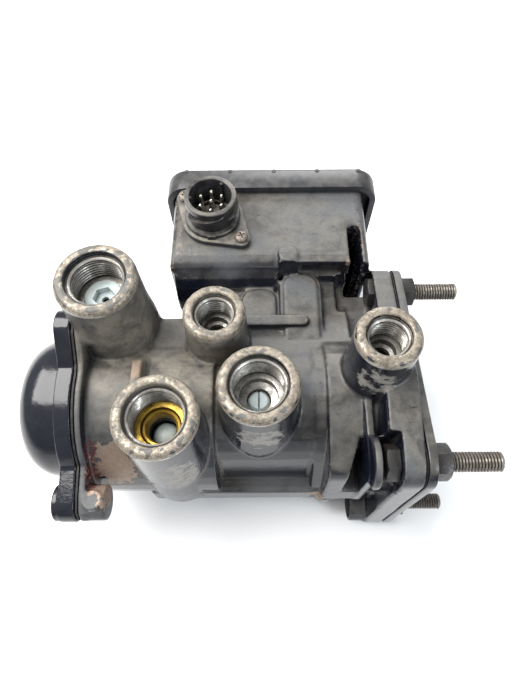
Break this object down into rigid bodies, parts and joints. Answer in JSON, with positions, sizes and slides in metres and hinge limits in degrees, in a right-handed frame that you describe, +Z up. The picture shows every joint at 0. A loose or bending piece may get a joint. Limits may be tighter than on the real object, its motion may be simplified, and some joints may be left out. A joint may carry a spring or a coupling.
{
  "type": "electro-pneumatic brake valve",
  "caption": "Cast brake control valve with threaded air ports, a domed end cap, a bolted flange and an electronics box with a round connector.",
  "frame": {"origin": "middle of the footprint, on the plane that the valve stands on", "axes": "+X along the valve bore from the end cap to the mounting flange, +Y from the ports to the electronics lid, +Z up along the ports"},
  "size_m": [0.1992, 0.1679, 0.1272],
  "materials": {
    "cast_paint": "black enamel over cast aluminium, dulled by grey-brown dust, chipped to bare metal in places",
    "cap_paint": "gloss black enamel over cast aluminium",
    "plate_paint": "dusty satin black enamel on steel",
    "rubber": "matte black",
    "screw_steel": "dull zinc-plated steel",
    "bolt_steel": "weathered grey-brown steel",
    "lid_plastic": "satin dark grey plastic",
    "plug_plastic": "satin black plastic",
    "pin_metal": "tinned, bright",
    "board": "green solder mask",
    "piston_metal": "machined, satin",
    "brass": "dull, oiled",
    "white_plastic": "off-white moulded plastic",
    "spring_steel": "bright spring steel",
    "coil_resin": "black moulding resin",
    "sensor_metal": "stainless steel"
  },
  "bodies": {
    "housing": {"valve_body": "cast_paint", "end_cap": "cap_paint", "flange_cover": "plate_paint", "end_cap_gasket": "rubber", "flange_gasket": "rubber", "lid_seal": "rubber", "lid_screw_1": "screw_steel", "lid_screw_2": "screw_steel", "lid_screw_3": "screw_steel", "lid_screw_4": "screw_steel", "connector_screw_1": "screw_steel", "connector_screw_2": "screw_steel", "end_cap_screw_1": "bolt_steel", "end_cap_screw_2": "bolt_steel", "end_cap_screw_3": "bolt_steel", "end_cap_screw_4": "bolt_steel", "mounting_bolt_1": "bolt_steel", "mounting_bolt_2": "bolt_steel", "mounting_bolt_3": "bolt_steel", "mounting_nut_1": "bolt_steel", "mounting_nut_2": "bolt_steel", "mounting_nut_3": "bolt_steel", "electronics_lid": "lid_plastic", "connector_shell": "plug_plastic", "exhaust_silencer": "plug_plastic", "connector_pin_1": "pin_metal", "connector_pin_2": "pin_metal", "connector_pin_3": "pin_metal", "connector_pin_4": "pin_metal", "connector_pin_5": "pin_metal", "connector_pin_6": "pin_metal", "connector_pin_7": "pin_metal", "circuit_board": "board", "inlet_seat": "brass", "valve_guide": "brass", "port_b_seat": "brass", "port_a_filter": "white_plastic", "relay_stop_ring": "spring_steel", "guide_retaining_ring": "spring_steel", "relay_piston_spring": "spring_steel", "inlet_valve_spring": "spring_steel", "control_piston_spring": "spring_steel", "armature_spring_1": "spring_steel", "armature_spring_2": "spring_steel", "port_b_spring": "spring_steel", "port_d_spring": "spring_steel", "solenoid_coil_1": "coil_resin", "solenoid_coil_2": "coil_resin", "pressure_sensor": "sensor_metal"},
    "relay_piston": {"relay_piston": "piston_metal", "relay_piston_seal": "rubber"},
    "inlet_valve": {"inlet_valve": "piston_metal"},
    "control_piston": {"control_piston": "piston_metal", "control_piston_seal": "rubber"},
    "armature_1": {"solenoid_armature_1": "piston_metal"},
    "armature_2": {"solenoid_armature_2": "piston_metal"},
    "plunger_b": {"port_b_plunger": "white_plastic"},
    "plunger_d": {"port_d_plunger": "white_plastic"}
  },
  "joints": [
    {"name": "relay_piston_slide", "type": "slide", "parent": "housing", "child": "relay_piston", "axis": [1, 0, 0], "range_m": [0, 0.0045], "stiffness_N_per_m": 1500, "springref_m": -0.005, "deforming": ["relay_piston_spring"]},
    {"name": "inlet_valve_slide", "type": "slide", "parent": "housing", "child": "inlet_valve", "axis": [1, 0, 0], "range_m": [0, 0.0027], "deforming": ["inlet_valve_spring"]},
    {"name": "control_piston_slide", "type": "slide", "parent": "housing", "child": "control_piston", "axis": [-1, 0, 0], "range_m": [0, 0.003], "stiffness_N_per_m": 1200, "springref_m": -0.004, "deforming": ["control_piston_spring"]},
    {"name": "armature_1_slide", "type": "slide", "parent": "housing", "child": "armature_1", "axis": [0, 1, 0], "range_m": [0, 0.0015], "stiffness_N_per_m": 200, "springref_m": -0.002, "deforming": ["armature_spring_1"]},
    {"name": "armature_2_slide", "type": "slide", "parent": "housing", "child": "armature_2", "axis": [0, 1, 0], "range_m": [0, 0.0015], "stiffness_N_per_m": 200, "springref_m": -0.002, "deforming": ["armature_spring_2"]},
    {"name": "plunger_b_slide", "type": "slide", "parent": "housing", "child": "plunger_b", "axis": [0, 0, -1], "range_m": [0, 0.002], "stiffness_N_per_m": 300, "springref_m": -0.0015, "deforming": ["port_b_spring"]},
    {"name": "plunger_d_slide", "type": "slide", "parent": "housing", "child": "plunger_d", "axis": [0, 0, -1], "range_m": [0, 0.0015], "stiffness_N_per_m": 300, "springref_m": -0.0015, "deforming": ["port_d_spring"]}
  ],
  "couplings": [
    {"joint": "inlet_valve_slide", "follows": "relay_piston_slide", "ratio": 0.6}
  ]
}
